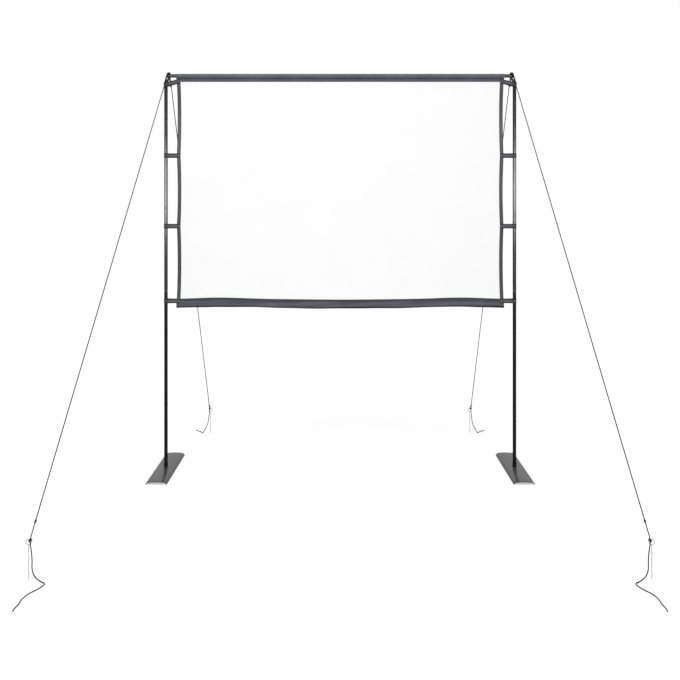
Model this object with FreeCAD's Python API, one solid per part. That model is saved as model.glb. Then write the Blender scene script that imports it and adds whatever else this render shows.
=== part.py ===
import FreeCAD, Part
import math
import os

os.makedirs("parts", exist_ok=True)

V = FreeCAD.Vector

# Frame: origin on the floor midway between the two poles, X to the right, Y to the back, Z up
# All lengths are in millimetres

# Clearances
slip_gap = 0.1
part_gap = 0.3
press_gap = 0.05
cord_gap = 0.6
overrun = 5.0

# Upright poles
pole_spacing = 1924.0
pole_diameter = 19.0
pole_wall = 1.2
pole_joint_height = 978.0
pole_top_height = 2127.4
joiner_collar_height = 10.0
joiner_reach = 60.0
joiner_wall = 1.2
foot_flange = 3.0
foot_plug_length = 18.0
plug_flange = 3.0
plug_length = 32.0

# Base plates, sockets and their bolts
plate_length = 400.0
plate_foot_width = 115.0
plate_shoulder_width = 96.0
plate_shoulder_height = 11.5
plate_crown_height = 15.0
plate_thickness = 3.0
socket_diameter = 21.6
socket_height = 18.0
socket_floor = 4.0
bolt_diameter = 8.0
bolt_head_across = 13.0
bolt_head_height = 5.3

# Cranked corner pins that carry the top bar
crank_diameter = 12.0
pin_diameter = 8.0
pin_offset = 16.0
pin_bend_radius = 10.0
pin_bend_angle = 40.0
pin_lead = 1.0
pin_shoulder_gap = 0.25
pin_tip_above_bar = 9.6
pin_tip_chamfer = 1.2
pin_collar_diameter = 15.0
pin_collar_thickness = 2.2

# Top bar in three lengths
bar_end_inset = 7.0
bar_middle_share = 0.333
bar_cap_thickness = 2.5
bar_cap_plug = 3.5
bar_joiner_reach = 60.0

# Screen cloth and its hems
band_pole_gap = 57.0
band_drop = 33.0
panel_height = 1198.0
panel_thickness = 0.8
panel_tuck = 12.0
hem_thickness = 2.4
hem_width = 22.0
hem_inset = 3.0
hem_waist = 5.0
sleeve_slack = 0.4
sleeve_thickness = 1.0
bottom_band_height = 50.0
bottom_rise = 5.0
bottom_sag = 4.0
rise_share = 0.75
sag_share = 0.5

# Straps that hold the cloth to the poles
strap_width = 25.0
strap_thickness = 1.2
strap_drop_shares = [0.34, 0.665]
strap_low_drop = 11.0
strap_names = ["upper", "middle", "low"]
strap_end_inset = 4.0
strap_top_drop = 5.4
strap_top_slope_share = 0.25

# Guy ropes, runners and pegs
rope_diameter = 4.0
eye_spacing = 4.6
top_knot_diameter = 8.0
loop_return_length = 70.0
loop_knot_diameter = 10.5
hitch_knot_diameter = 8.5
hitch_wrap_pitch = 4.3
runner_diameter = 9.0
runner_length = 11.0
runner_round = 1.5
peg_wire = 5.0
peg_ring_diameter = 26.0
peg_ring_height = 150.0
peg_lift = 0.5
peg_point = 12.0
peg_point_tip = 0.8

front_ring_out = 254.0
front_ring_y = -1070.0
front_hitch_angle = 45.0
front_runner_up = 70.0
rear_ring_in = 137.0
rear_ring_y = 558.0
rear_hitch_angle = 115.0
rear_runner_up = 19.0

# Tail of a front rope: steps in X and Y from its hitch, and the share of the hitch's height that is left
front_drop_steps = [(7.0, -1.0), (4.0, -1.0), (-1.0, -2.0), (13.0, -3.0)]
front_drop_shares = [0.772, 0.531, 0.303, 0.125]
# The same tail where it lies on the floor, as steps
front_floor_steps = [(25.0, -8.0), (26.0, -12.0), (-10.0, -31.0), (-17.0, -23.0), (-13.0, -20.0),
                     (-6.0, -34.0), (5.0, -24.0), (-5.0, -26.0), (4.0, -15.0)]
# Tail of a rear rope
rear_drop_steps = [(-4.0, -0.5), (-6.0, -0.5), (-11.0, -0.5), (-14.0, -0.5)]
rear_drop_shares = [0.775, 0.525, 0.325, 0.219]
rear_floor_steps = [(-17.0, 5.0), (-12.0, 22.0), (-22.0, 18.0), (-20.0, 14.0)]

# Places that follow from the sizes above
pole_x = pole_spacing / 2
pole_radius = pole_diameter / 2
bore_radius = pole_radius - pole_wall
rope_radius = rope_diameter / 2
plug_top = pole_top_height + plug_flange
bend = math.radians(pin_bend_angle)
bend_offset = pin_bend_radius * (1 - math.cos(bend))
bend_rise = pin_bend_radius * math.sin(bend)
lean_length = (pin_offset - bend_offset * 2) / math.sin(bend)
bend_start = plug_top + pin_lead
bend_end = bend_start + bend_rise * 2 + lean_length * math.cos(bend)
collar_face = bend_end + pin_shoulder_gap + pin_collar_thickness
bar_under = collar_face + part_gap
bar_axis_height = bar_under + pole_radius
bar_top = bar_axis_height + pole_radius
bar_half_length = pole_x - bar_end_inset
bar_joint_half = bar_half_length * bar_middle_share
band_half_width = pole_x - band_pole_gap
hem_half_width = band_half_width - hem_inset
panel_half_width = hem_half_width - hem_width
panel_top = bar_axis_height - band_drop
panel_bottom = panel_top - panel_height
strap_heights = [panel_top - panel_height * share for share in strap_drop_shares]
strap_heights.append(panel_bottom - strap_low_drop)
strap_end_half = panel_half_width + strap_end_inset
strap_top_height = pole_top_height - strap_top_drop


def rod(start, direction, radius, length):
    return Part.makeCylinder(radius, length, start, direction)


def upright(x, bottom, top, radius):
    return rod(V(x, 0, bottom), V(0, 0, 1), radius, top - bottom)


def upright_tube(x, bottom, top, outer, inner):
    body = upright(x, bottom, top, outer)
    return body.cut(upright(x, bottom - overrun, top + overrun, inner))


def level_tube(x0, x1, z, outer, inner):
    body = rod(V(x0, 0, z), V(1, 0, 0), outer, x1 - x0)
    return body.cut(rod(V(x0 - overrun, 0, z), V(1, 0, 0), inner, x1 - x0 + overrun + overrun))


def block(x0, x1, y0, y1, z0, z1):
    return Part.makeBox(x1 - x0, y1 - y0, z1 - z0, V(x0, y0, z0))


def arch_solid(foot_half, shoulder_half, shoulder, crown, bottom, half_length):
    left_foot = V(-foot_half, -half_length, bottom)
    left_shoulder = V(-shoulder_half, -half_length, shoulder)
    top = V(0, -half_length, crown)
    right_shoulder = V(shoulder_half, -half_length, shoulder)
    right_foot = V(foot_half, -half_length, bottom)
    edges = [Part.LineSegment(left_foot, left_shoulder).toShape()]
    edges.append(Part.Arc(left_shoulder, top, right_shoulder).toShape())
    edges.append(Part.LineSegment(right_shoulder, right_foot).toShape())
    edges.append(Part.LineSegment(right_foot, left_foot).toShape())
    face = Part.Face(Part.Wire(edges))
    return face.extrude(V(0, half_length * 2, 0))


def cord_wire(points):
    # Straight runs joined by arcs that are tangent to both runs
    edges = []
    radii = []
    start = points[0]
    for before, here, after in zip(points, points[1:], points[2:]):
        run_in = here - before
        run_out = after - here
        turn = run_in.getAngle(run_out)
        trim_share = 0.45
        trim = trim_share * min(run_in.Length, run_out.Length)
        unit_in = V(run_in).normalize()
        unit_out = V(run_out).normalize()
        radius = trim / math.tan(turn / 2)
        radii.append(radius)
        enter = here - unit_in * trim
        leave = here + unit_out * trim
        inward = (unit_out - unit_in).normalize()
        depth = radius / math.cos(turn / 2) - radius
        edges.append(Part.LineSegment(start, enter).toShape())
        edges.append(Part.Arc(enter, here + inward * depth, leave).toShape())
        start = leave
    edges.append(Part.LineSegment(start, points[-1]).toShape())
    return Part.Wire(edges), radii


def cord_tube(name, points, diameter):
    wire, radii = cord_wire(points)
    heading = points[1] - points[0]
    ring = Part.Wire([Part.Circle(points[0], heading, diameter / 2).toShape()])
    tube = wire.makePipeShell([ring], True, True)
    section = math.pi * diameter ** 2 / 4
    print(name, "length", round(wire.Length, 1), "volume share", round(tube.Volume / (section * wire.Length), 4))
    print(name, "arc radii", [round(r, 1) for r in radii])
    return tube


def save(name, shape):
    shape.exportStep("parts/" + name + ".step")


def save_pair(name, shape):
    save(name + "_left", shape)
    save(name + "_right", shape.mirror(V(0, 0, 0), V(1, 0, 0)))


# Base plate, an open arch with sloped flanges that stand on the floor
foot_half = plate_foot_width / 2
shoulder_half = plate_shoulder_width / 2
half_plate = plate_length / 2
flange_run = foot_half - shoulder_half
flange_slope = flange_run / plate_shoulder_height
flange_span = math.hypot(flange_run, plate_shoulder_height)
skin_run = plate_thickness * flange_span / plate_shoulder_height
crown_drop = plate_crown_height - plate_shoulder_height
inner_foot = foot_half - skin_run
inner_shoulder = plate_shoulder_height - plate_thickness
inner_half = inner_foot - inner_shoulder * flange_slope
plate_solid = arch_solid(foot_half, shoulder_half, plate_shoulder_height, plate_crown_height, 0, half_plate)
plate_hollow = arch_solid(inner_foot + overrun * flange_slope, inner_half, inner_shoulder,
                          plate_crown_height - plate_thickness, -overrun, half_plate + overrun)
to_pole = V(-pole_x, 0, 0)
plate_solid.translate(to_pole)
plate_hollow.translate(to_pole)
bolt_hole = upright(-pole_x, -overrun, plate_crown_height + socket_height, bolt_diameter / 2 + press_gap)
base_plate = plate_solid.cut(plate_hollow).cut(bolt_hole)
save_pair("base_plate", base_plate)

# Pole socket standing on the crown of the plate
socket_top = plate_crown_height + socket_height
socket_floor_top = plate_crown_height + socket_floor
socket = upright(-pole_x, plate_shoulder_height, socket_top, socket_diameter / 2)
socket = socket.cut(upright(-pole_x, socket_floor_top, socket_top + overrun, pole_radius + slip_gap))
socket = socket.cut(plate_solid).cut(bolt_hole)
save_pair("pole_socket", socket)

# Bolt from below through the plate into the floor of the socket
head_top = plate_crown_height - plate_thickness - part_gap
corner_radius = bolt_head_across / math.sqrt(3)
hex_points = []
for corner in range(7):
    turn = math.radians(60) * corner
    hex_points.append(V(-pole_x + corner_radius * math.cos(turn), corner_radius * math.sin(turn), head_top))
head = Part.Face(Part.makePolygon(hex_points)).extrude(V(0, 0, -bolt_head_height))
shank = upright(-pole_x, head_top - bolt_head_height / 2, socket_floor_top - part_gap, bolt_diameter / 2)
save_pair("base_bolt", head.fuse(shank).removeSplitter())

# Foot plug, lower tube, joiner with collar, upper tube and top plug of one pole
pole_bottom = socket_floor_top + part_gap
lower_bottom = pole_bottom + foot_flange
foot = upright(-pole_x, pole_bottom, lower_bottom, pole_radius)
foot = foot.fuse(upright(-pole_x, lower_bottom, lower_bottom + foot_plug_length, bore_radius - press_gap))
save_pair("pole_foot", foot.removeSplitter())

collar_top = pole_joint_height + joiner_collar_height
save_pair("pole_lower", upright_tube(-pole_x, lower_bottom, pole_joint_height, pole_radius, bore_radius))
save_pair("pole_upper", upright_tube(-pole_x, collar_top, pole_top_height, pole_radius, bore_radius))

joiner_radius = bore_radius - press_gap
joiner = upright(-pole_x, pole_joint_height - joiner_reach, collar_top + joiner_reach, joiner_radius)
joiner = joiner.fuse(upright(-pole_x, pole_joint_height, collar_top, pole_radius))
joiner_hole = upright(-pole_x, 0, pole_top_height, joiner_radius - joiner_wall)
save_pair("pole_joiner", joiner.cut(joiner_hole).removeSplitter())

plug = upright(-pole_x, pole_top_height, plug_top, pole_radius)
plug = plug.fuse(upright(-pole_x, pole_top_height - plug_length, pole_top_height, bore_radius - press_gap))
plug_hole = upright(-pole_x, 0, plug_top + overrun, crank_diameter / 2 + press_gap)
save_pair("pole_plug", plug.cut(plug_hole).removeSplitter())

# Cranked corner pin, from the plug up through the end of the top bar
pin_x = -pole_x + pin_offset
pin_tip = bar_top + pin_tip_above_bar
half_bend = bend / 2
first_mid = V(-pole_x + pin_bend_radius * (1 - math.cos(half_bend)), 0,
              bend_start + pin_bend_radius * math.sin(half_bend))
first_end = V(-pole_x + bend_offset, 0, bend_start + bend_rise)
lean = V(math.sin(bend), 0, math.cos(bend)) * lean_length
second_start = first_end + lean
second_end = V(pin_x, 0, bend_end)
second_mid = V(pin_x - pin_bend_radius * (1 - math.cos(half_bend)), 0,
               second_end.z - pin_bend_radius * math.sin(half_bend))
pin_bottom = V(-pole_x, 0, pole_top_height - plug_length)
pin_edges = [Part.LineSegment(pin_bottom, V(-pole_x, 0, bend_start)).toShape()]
pin_edges.append(Part.Arc(V(-pole_x, 0, bend_start), first_mid, first_end).toShape())
pin_edges.append(Part.LineSegment(first_end, second_start).toShape())
pin_edges.append(Part.Arc(second_start, second_mid, second_end).toShape())
collar_middle = collar_face - pin_collar_thickness / 2
pin_edges.append(Part.LineSegment(second_end, V(pin_x, 0, collar_middle)).toShape())
pin_ring = Part.Wire([Part.Circle(pin_bottom, V(0, 0, 1), crank_diameter / 2).toShape()])
pin = Part.Wire(pin_edges).makePipeShell([pin_ring], True, True)
pin_cone = Part.makeCone(pin_diameter / 2, pin_diameter / 2 - pin_tip_chamfer, pin_tip_chamfer,
                         V(pin_x, 0, pin_tip - pin_tip_chamfer))
collar = upright(pin_x, collar_face - pin_collar_thickness, collar_face, pin_collar_diameter / 2)
spigot = upright(pin_x, collar_middle, pin_tip - pin_tip_chamfer, pin_diameter / 2)
pin = pin.fuse(collar).fuse(spigot).fuse(pin_cone).removeSplitter()
save_pair("corner_pin", pin)

# Top bar: two end lengths with pin holes, a middle length, joiners and end caps
bar_end = level_tube(-bar_half_length, -bar_joint_half, bar_axis_height, pole_radius, bore_radius)
pin_hole = upright(pin_x, bar_under - overrun, bar_top + overrun, pin_diameter / 2 + slip_gap)
bar_end = bar_end.cut(pin_hole)
save_pair("bar_end", bar_end)
save("bar_middle", level_tube(-bar_joint_half, bar_joint_half, bar_axis_height, pole_radius, bore_radius))
bar_joiner = level_tube(-bar_joint_half - bar_joiner_reach, -bar_joint_half + bar_joiner_reach,
                        bar_axis_height, bore_radius - press_gap, bore_radius - press_gap - joiner_wall)
save_pair("bar_joiner", bar_joiner)
cap_outside = -bar_half_length - bar_cap_thickness
bar_cap = rod(V(cap_outside, 0, bar_axis_height), V(1, 0, 0), pole_radius, bar_cap_thickness)
bar_cap = bar_cap.fuse(rod(V(-bar_half_length, 0, bar_axis_height), V(1, 0, 0), bore_radius - press_gap, bar_cap_plug))
save_pair("bar_cap", bar_cap.removeSplitter())

# White screen panel, tucked into the hems on all four sides
half_sheet = panel_thickness / 2
half_hem = hem_thickness / 2
panel = block(-panel_half_width - panel_tuck, panel_half_width + panel_tuck, -half_sheet, half_sheet,
              panel_bottom - panel_tuck, panel_top + panel_tuck)
save("screen_panel", panel)

# Side hem with an outer edge that is drawn in between the straps
side_heights = [panel_top] + strap_heights[:-1] + [panel_bottom]
side_edges = [Part.LineSegment(V(-panel_half_width, -half_hem, panel_bottom),
                               V(-panel_half_width, -half_hem, panel_top)).toShape()]
side_edges.append(Part.LineSegment(V(-panel_half_width, -half_hem, panel_top),
                                   V(-hem_half_width, -half_hem, panel_top)).toShape())
for upper, lower in zip(side_heights, side_heights[1:]):
    begin = V(-hem_half_width, -half_hem, upper)
    waist = V(-hem_half_width + hem_waist, -half_hem, (upper + lower) / 2)
    end = V(-hem_half_width, -half_hem, lower)
    side_edges.append(Part.Arc(begin, waist, end).toShape())
side_edges.append(Part.LineSegment(V(-hem_half_width, -half_hem, panel_bottom),
                                   V(-panel_half_width, -half_hem, panel_bottom)).toShape())
side_hem = Part.Face(Part.Wire(side_edges)).extrude(V(0, hem_thickness, 0)).cut(panel)
save_pair("side_hem", side_hem)

# Top band with the sleeve that the bar runs through
sleeve_inner = pole_radius + sleeve_slack
sleeve_outer = sleeve_inner + sleeve_thickness
sleeve = rod(V(-band_half_width, 0, bar_axis_height), V(1, 0, 0), sleeve_outer, band_half_width * 2)
band = block(-band_half_width, band_half_width, -half_hem, half_hem, panel_top, bar_axis_height)
sleeve_bore = rod(V(-bar_half_length, 0, bar_axis_height), V(1, 0, 0), sleeve_inner, bar_half_length * 2)
top_band = sleeve.fuse(band).cut(sleeve_bore).cut(panel).removeSplitter()
save("top_band", top_band)

# Bottom band with a lower edge that rises near its ends and sags in the middle
low_edge = panel_bottom - bottom_band_height
corner_low = V(-band_half_width, -half_hem, low_edge)
rise_point = V(-band_half_width * rise_share, -half_hem, low_edge + bottom_rise)
sag_start = V(-band_half_width * sag_share, -half_hem, low_edge + bottom_rise / 2)
sag_point = V(0, -half_hem, low_edge - bottom_sag)
sag_end = V(-sag_start.x, -half_hem, sag_start.z)
rise_other = V(-rise_point.x, -half_hem, rise_point.z)
corner_other = V(band_half_width, -half_hem, low_edge)
top_right = V(band_half_width, -half_hem, panel_bottom)
top_left = V(-band_half_width, -half_hem, panel_bottom)
low_edges = [Part.Arc(corner_low, rise_point, sag_start).toShape()]
low_edges.append(Part.Arc(sag_start, sag_point, sag_end).toShape())
low_edges.append(Part.Arc(sag_end, rise_other, corner_other).toShape())
low_edges.append(Part.LineSegment(corner_other, top_right).toShape())
low_edges.append(Part.LineSegment(top_right, top_left).toShape())
low_edges.append(Part.LineSegment(top_left, corner_low).toShape())
bottom_band = Part.Face(Part.Wire(low_edges)).extrude(V(0, hem_thickness, 0)).cut(panel)
save("bottom_band", bottom_band)


def strap_outline(radius, half_gap, meet_x, end_x, z):
    # Loop round the pole, closing on both faces of the hem
    reach = meet_x + pole_x
    span = math.hypot(reach, half_gap)
    angle = math.atan2(half_gap, reach) + math.acos(radius / span)
    upper_tangent = V(-pole_x + radius * math.cos(angle), radius * math.sin(angle), z)
    lower_tangent = V(upper_tangent.x, -upper_tangent.y, z)
    far_side = V(-pole_x - radius, 0, z)
    edges = [Part.LineSegment(V(end_x, half_gap, z), V(meet_x, half_gap, z)).toShape()]
    edges.append(Part.LineSegment(V(meet_x, half_gap, z), upper_tangent).toShape())
    edges.append(Part.Arc(upper_tangent, far_side, lower_tangent).toShape())
    edges.append(Part.LineSegment(lower_tangent, V(meet_x, -half_gap, z)).toShape())
    edges.append(Part.LineSegment(V(meet_x, -half_gap, z), V(end_x, -half_gap, z)).toShape())
    edges.append(Part.LineSegment(V(end_x, -half_gap, z), V(end_x, half_gap, z)).toShape())
    return Part.Face(Part.Wire(edges))


def strap_loop(z, half_width):
    inner_radius = pole_radius + part_gap
    outer_radius = inner_radius + strap_thickness
    meet = -band_half_width
    outer = strap_outline(outer_radius, half_hem + strap_thickness, meet, -strap_end_half, z - half_width)
    inner = strap_outline(inner_radius, half_hem, meet, -strap_end_half + overrun, z - half_width - overrun)
    body = outer.extrude(V(0, 0, half_width * 2))
    return body.cut(inner.extrude(V(0, 0, half_width * 2 + overrun * 2)))


for label, height in zip(strap_names, strap_heights):
    save_pair("strap_" + label, strap_loop(height, strap_width / 2))

# The top strap rises from the pole to the corner of the cloth
slanted = strap_loop(0, strap_width / 2)
slant = FreeCAD.Matrix()
slant.A31 = strap_top_slope_share
slant.A34 = strap_top_height + strap_top_slope_share * pole_x
save_pair("strap_top", slanted.transformGeometry(slant))


def peg_shape(ring_x, ring_y):
    ring_radius = (peg_ring_diameter - peg_wire) / 2
    centre = V(ring_x, ring_y, peg_ring_height)
    ring = Part.makeTorus(ring_radius, peg_wire / 2, centre, V(0, 1, 0))
    point_top = peg_lift + peg_point
    stem = rod(V(ring_x, ring_y, point_top), V(0, 0, 1), peg_wire / 2, peg_ring_height - ring_radius - point_top)
    point = Part.makeCone(peg_point_tip, peg_wire / 2, peg_point, V(ring_x, ring_y, peg_lift))
    return ring.fuse(stem).fuse(point).removeSplitter()


def rope_parts(name, ring_x, ring_y, hitch_angle, eye_level, runner_up, drops, drop_shares, lays):
    ring_radius = (peg_ring_diameter - peg_wire) / 2
    hitch = math.radians(hitch_angle)
    wire_spot = V(ring_x + ring_radius * math.cos(hitch), ring_y, peg_ring_height + ring_radius * math.sin(hitch))
    along_wire = V(-math.sin(hitch), 0, math.cos(hitch))
    wrap_radius = peg_wire / 2 + cord_gap + rope_radius
    knot_offset = peg_wire / 2 + cord_gap + hitch_knot_diameter / 2
    knot = wire_spot - V(0, knot_offset, 0)

    eye_centre = V(pin_x, 0, bar_top + eye_level)
    eye_radius = pin_diameter / 2 + part_gap + rope_radius
    level_run = V(knot.x - pin_x, knot.y, 0).normalize()
    top_knot = eye_centre + level_run * (eye_radius + top_knot_diameter / 2)

    points = [top_knot, knot]
    for step, share in zip(drops, drop_shares):
        points.append(V(points[-1].x + step[0], points[-1].y + step[1], knot.z * share))
    for step in lays:
        points.append(V(points[-1].x + step[0], points[-1].y + step[1], rope_radius))
    rope = cord_tube(name, points, rope_diameter)
    rope = rope.fuse(Part.makeTorus(eye_radius, rope_radius, eye_centre, V(0, 0, 1)))
    rope = rope.fuse(Part.makeSphere(top_knot_diameter / 2, top_knot, knot - top_knot))
    up = (top_knot - knot).normalize()
    outward = V(-1, 0, 0)
    across = (outward - up * outward.dot(up)).normalize()
    rope = rope.fuse(rod(top_knot + across * (rope_diameter + slip_gap), -up, rope_radius, loop_return_length))
    loop_knot = top_knot - up * loop_return_length + across * (rope_radius + slip_gap / 2)
    rope = rope.fuse(Part.makeSphere(loop_knot_diameter / 2, loop_knot, knot - top_knot))
    for side in (-1, 1):
        wrap_centre = wire_spot + along_wire * (side * hitch_wrap_pitch / 2)
        rope = rope.fuse(Part.makeTorus(wrap_radius, rope_radius, wrap_centre, along_wire))
    rope = rope.fuse(Part.makeSphere(hitch_knot_diameter / 2, knot, knot - top_knot))
    save_pair("rope_" + name, rope)

    runner_start = knot + up * (runner_up - runner_length / 2)
    runner = rod(runner_start, up, runner_diameter / 2, runner_length)
    runner = runner.makeFillet(runner_round, [edge for edge in runner.Edges if edge.Closed])
    runner_hole = rod(runner_start - up * overrun, up, rope_radius + part_gap, runner_length + overrun * 2)
    save_pair("runner_" + name, runner.cut(runner_hole))
    print(name, "runner centre", runner_start + up * (runner_length / 2), "up", up)
    print(name, "ring centre", ring_x, ring_y, peg_ring_height, "knot", knot, "top", top_knot)

    save_pair("peg_" + name, peg_shape(ring_x, ring_y))
    return rope


first_eye = rope_radius + part_gap
rope_parts("front", -pole_x - front_ring_out, front_ring_y, front_hitch_angle, first_eye, front_runner_up,
           front_drop_steps, front_drop_shares, front_floor_steps)
rope_parts("rear", -pole_x + rear_ring_in, rear_ring_y, rear_hitch_angle, first_eye + eye_spacing, rear_runner_up,
           rear_drop_steps, rear_drop_shares, rear_floor_steps)

for entry in sorted(os.listdir("parts")):
    shape = Part.Shape()
    shape.read("parts/" + entry)
    box = shape.BoundBox
    print(entry, len(shape.Solids), shape.isValid(), round(shape.Volume), [round(v, 1) for v in (
        box.XMin, box.XMax, box.YMin, box.YMax, box.ZMin, box.ZMax)])
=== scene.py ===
import math

import bpy
import numpy as np
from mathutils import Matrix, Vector


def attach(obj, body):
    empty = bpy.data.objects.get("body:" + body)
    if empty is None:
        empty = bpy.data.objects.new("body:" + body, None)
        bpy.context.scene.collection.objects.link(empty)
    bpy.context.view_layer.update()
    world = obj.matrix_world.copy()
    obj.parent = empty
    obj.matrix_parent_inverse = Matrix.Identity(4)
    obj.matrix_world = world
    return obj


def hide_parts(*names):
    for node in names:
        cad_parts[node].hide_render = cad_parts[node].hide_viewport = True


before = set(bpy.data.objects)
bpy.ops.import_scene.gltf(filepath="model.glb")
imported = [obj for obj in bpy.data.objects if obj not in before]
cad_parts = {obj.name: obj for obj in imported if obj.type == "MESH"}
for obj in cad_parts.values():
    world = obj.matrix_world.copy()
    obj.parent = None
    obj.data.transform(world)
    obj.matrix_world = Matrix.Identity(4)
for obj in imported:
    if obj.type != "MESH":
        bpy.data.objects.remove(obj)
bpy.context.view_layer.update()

scene = bpy.context.scene
scene.view_settings.view_transform = "Standard"

TAU = 2 * math.pi

# Places and sizes in metres, as in the CAD frame
POLE_X = 0.962
BAR_Z = 2.170
BAR_R = 0.0095
PIN_X = 0.946
PIN_R = 0.004
BAND_HALF = 0.905
HEM_HALF = 0.902
PANEL_HALF = 0.880
PANEL_TOP = 2.137
PANEL_LOW = 0.939
STRAP_Z = {"upper": 1.72968, "middle": 1.34033, "low": 0.928}
STRAP_HALF = 0.0125
TOP_STRAP_Z = 2.122
TOP_STRAP_SLOPE = 0.25
ROPE_D = 0.004
RING_R = 0.0105
RING_Z = 0.150
LOOP_RETURN = 0.070

# Drawn thicker than the rope, because a line of one pixel comes out pale
LINE_R = 0.0022

# Sides are written for the left, and the right mirrors them
SIDES = (("left", 1), ("right", -1))


# -------- camera

CAM_LENS = 35.0
CAM_SENSOR = 36.0
CAM_SHIFT = (-0.0003, -0.2054)
CAM_PLACE = (0.0, -3.650, 1.483)

cam_data = bpy.data.cameras.new("camera")
cam_data.lens = CAM_LENS
cam_data.sensor_width = CAM_SENSOR
cam_data.shift_x, cam_data.shift_y = CAM_SHIFT
cam = bpy.data.objects.new("camera", cam_data)
cam.location = CAM_PLACE
cam.rotation_euler = (math.radians(90), 0, 0)
scene.collection.objects.link(cam)
scene.camera = cam


# -------- materials

# Noise that the finishes share: scale and detail, and the span of it that is spread out
CLOUDS, CLOUD_SPAN = (14.0, 4.0), (0.35, 0.68)
RUBS, RUB_SPAN = (160.0, 3.0), (0.66, 0.78)
MIDDLE_SPAN = (0.3, 0.7)
PAINT_SCALE = 60.0

# Raised grain of the finishes: scale, depth and, where it isn't plain, detail
PAINT_PEEL = (900.0, 0.00006)
ENAMEL_PEEL = (900.0, 0.000006)
PLATE_PEEL = (1400.0, 0.00001)
ZINC_GRAIN = (1500.0, 0.00003, 2.0)
PLASTIC_GRAIN = (2500.0, 0.00008)
THREAD_GRAIN = (5000.0, 0.00006)
MELTED_GRAIN = (1600.0, 0.0003, 3.0)

# Streaks of wear that run up a pole, along the bar, along a plate and round a joiner
UP_POLE = (1, 1, 0.03)
ALONG_BAR = (0.03, 1, 1)
ALONG_PLATE = (1, 0.05, 1)
ROUND_JOINER = (0.05, 0.05, 1)

# Painted shade along a plate's folds and edges: where its dark lines start and are full, outwards from the
# pole and along the plate
OUTER_FOLD_SHADE = (0.0335, 0.0365)
INNER_FOLD_SHADE = (-0.0475, -0.0498)
END_EDGE_SHADE = (0.1860, 0.1900)

# Webbing: its ribs and their slant, and where its dark, frayed edges start and are full
RIB_PITCH = 0.0024
CROSS_PITCH = 0.0021
RIB_SLANT = 0.8
FRAY = 0.0014
SELVEDGE = (0.0052, 0.0090)

# Braid: strands round the rope, and the length in which they go once round
BRAID_STRANDS = 4.0
BRAID_STEP = 0.0068


def rgba(colour):
    """A colour for a socket, or the output that gives it."""
    return colour if isinstance(colour, bpy.types.NodeSocket) else (*colour, 1.0)


class Nodes:
    """Puts shader nodes into a tree, step by step."""

    def __init__(self, tree):
        self.tree = tree

    def put(self, socket, value):
        if isinstance(value, bpy.types.NodeSocket):
            self.tree.links.new(value, socket)
        else:
            socket.default_value = value

    def node(self, kind, sockets=(), **props):
        made = self.tree.nodes.new("ShaderNode" + kind)
        for key, value in props.items():
            setattr(made, key, value)
        for key, value in dict(sockets).items():
            self.put(made.inputs[key], value)
        return made

    def math(self, operation, a, b=0.0):
        return self.node("Math", {0: a, 1: b}, operation=operation).outputs[0]

    def seen_rays(self):
        """One where the camera sees it, also by reflection, and nought for light that bounces."""
        rays = self.node("LightPath").outputs
        seen = self.math("MAXIMUM", rays["Is Camera Ray"], rays["Is Glossy Ray"])
        return self.math("MAXIMUM", seen, rays["Is Transmission Ray"])


class Shade(Nodes):
    """A material with a Principled shader."""

    def __init__(self, name, base, rough, metal=0.0, spec=0.5):
        self.mat = bpy.data.materials.new(name)
        self.mat.use_nodes = True
        super().__init__(self.mat.node_tree)
        self.bsdf = self.tree.nodes["Principled BSDF"]
        self.set("Base Color", (*base, 1.0))
        self.set("Roughness", rough)
        self.set("Metallic", metal)
        self.set("Specular IOR Level", spec)

    def set(self, name, value):
        self.put(self.bsdf.inputs[name], value)

    def scaled(self, vector, scale):
        return self.node("Mapping", {"Vector": vector, "Scale": scale}).outputs[0]

    def place(self, scale=(1, 1, 1)):
        return self.scaled(self.node("TexCoord").outputs["Object"], scale)

    def parts(self, vector):
        return self.node("SeparateXYZ", {0: vector}).outputs

    def cloth_uv(self):
        """The piece's own coordinates on its cloth or cord: both, and each alone."""
        source = self.node("UVMap", uv_map="cloth").outputs[0]
        parts = self.parts(source)
        return source, parts[0], parts[1]

    def noise(self, vector, scale, detail=2.0):
        sockets = {"Vector": vector, "Scale": scale, "Detail": detail}
        return self.node("TexNoise", sockets).outputs[0]

    def wave(self, along, pitch):
        return self.math("SINE", self.math("MULTIPLY", along, TAU / pitch))

    def remap(self, value, from_low, from_high, low=0.0, high=1.0):
        sockets = {0: value, 1: from_low, 2: from_high, 3: low, 4: high}
        return self.node("MapRange", sockets).outputs[0]

    def mix(self, share, first, second, blend="MIX"):
        sockets = {0: share, 6: rgba(first), 7: rgba(second)}
        return self.node("Mix", sockets, data_type="RGBA", blend_type=blend).outputs[2]

    def with_painted_shade(self, colour):
        """Darkens or lightens a colour by the tone that is stored on the cloth, which is painted light and
        shade.
        """
        tone = self.node("Attribute", attribute_name="tone").outputs["Fac"]
        return self.mix(1.0, colour, tone, "MULTIPLY")

    def bump(self, height, distance):
        sockets = {"Strength": 1.0, "Distance": distance, "Height": height}
        self.set("Normal", self.node("Bump", sockets).outputs[0])

    def worn(self, dark, light, streaks, most_cloud, most_rubbed):
        """Paint between two colours, by broad clouds and by streaks where it is rubbed."""
        cloud = self.remap(self.noise(self.place(), *CLOUDS), *CLOUD_SPAN, 0.0, most_cloud)
        rubbed = self.remap(self.noise(self.place(streaks), *RUBS), *RUB_SPAN, 0.0, most_rubbed)
        return self.mix(self.math("MAXIMUM", cloud, rubbed), dark, light)

    def uneven(self, scale, rough, detail=3.0):
        """Roughness that varies over the piece."""
        noise = self.noise(self.place(), scale, detail)
        self.set("Roughness", self.remap(noise, *MIDDLE_SPAN, *rough))

    def grained(self, scale, depth, detail=1.0):
        """A fine raised grain."""
        self.bump(self.noise(self.place(), scale, detail), depth)


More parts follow.
